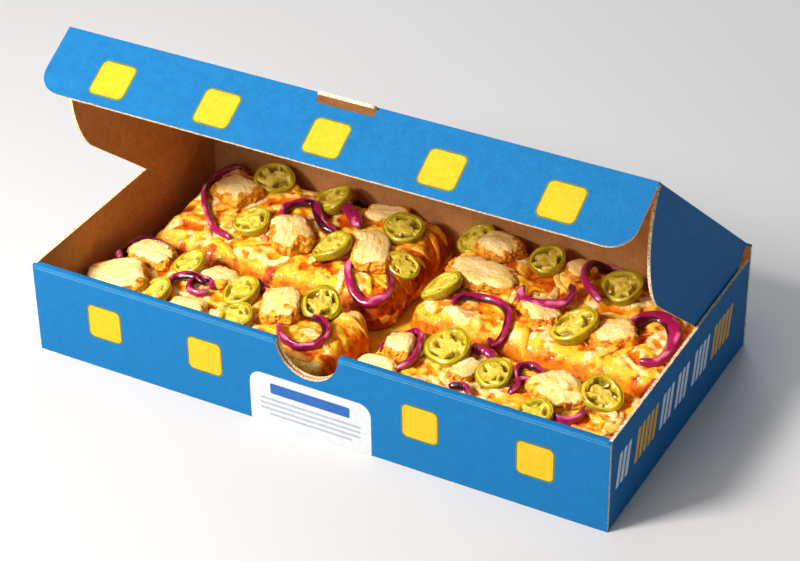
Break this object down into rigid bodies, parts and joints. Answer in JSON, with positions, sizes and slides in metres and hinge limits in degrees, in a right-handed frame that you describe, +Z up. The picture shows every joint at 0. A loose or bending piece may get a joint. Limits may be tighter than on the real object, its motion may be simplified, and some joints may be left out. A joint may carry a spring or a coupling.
{
  "type": "pizza in its box",
  "caption": "Deep pizza cut in slabs, topped with chicken, pepper rings and red onion, in an open hinged cardboard box with a thumb notch.",
  "frame": {"origin": "centre of the tray's footprint, on the surface it stands on", "axes": "+X to the right along the box's long side, +Y from the notched front wall to the hinge, +Z up"},
  "size_m": [0.33, 0.176, 0.1732],
  "materials": {
    "box_board": "printed matt board",
    "dough": "baked crust",
    "cheese": "melted, oily",
    "pepper": "wet, pickled",
    "chicken": "roast, fibrous",
    "onion": "wet, glossy"
  },
  "bodies": {
    "root": {"cheese_back_left": "cheese", "cheese_back_right": "cheese", "cheese_front_left": "cheese", "cheese_front_right": "cheese", "chicken_1": "chicken", "chicken_10": "chicken", "chicken_11": "chicken", "chicken_12": "chicken", "chicken_13": "chicken", "chicken_14": "chicken", "chicken_2": "chicken", "chicken_3": "chicken", "chicken_4": "chicken", "chicken_5": "chicken", "chicken_6": "chicken", "chicken_7": "chicken", "chicken_8": "chicken", "chicken_9": "chicken", "dough_back_left": "dough", "dough_back_right": "dough", "dough_front_left": "dough", "dough_front_right": "dough", "onion_1": "onion", "onion_10": "onion", "onion_11": "onion", "onion_12": "onion", "onion_13": "onion", "onion_2": "onion", "onion_3": "onion", "onion_4": "onion", "onion_5": "onion", "onion_6": "onion", "onion_7": "onion", "onion_8": "onion", "onion_9": "onion", "pepper_1": "pepper", "pepper_10": "pepper", "pepper_11": "pepper", "pepper_12": "pepper", "pepper_13": "pepper", "pepper_14": "pepper", "pepper_15": "pepper", "pepper_16": "pepper", "pepper_17": "pepper", "pepper_18": "pepper", "pepper_19": "pepper", "pepper_2": "pepper", "pepper_20": "pepper", "pepper_3": "pepper", "pepper_4": "pepper", "pepper_5": "pepper", "pepper_6": "pepper", "pepper_7": "pepper", "pepper_8": "pepper", "pepper_9": "pepper", "tray": "box_board"},
    "lid": {"lid": "box_board", "left_flap": "box_board", "right_flap": "box_board"},
    "front_flap": {"front_flap": "box_board"}
  },
  "joints": [
    {"name": "lid_hinge", "type": "hinge", "parent": "root", "child": "lid", "pos_m": [0, 0.0872, 0.062], "axis": [-1, 0, 0], "range_deg": [-43.1, 100]},
    {"name": "flap_fold", "type": "hinge", "parent": "lid", "child": "front_flap", "pos_m": [0, -0.03903, 0.16981], "axis": [1, 0, 0], "range_deg": [-70, 30.2]}
  ],
  "couplings": [
    {"joint": "flap_fold", "follows": "lid_hinge", "ratio": -0.697}
  ]
}
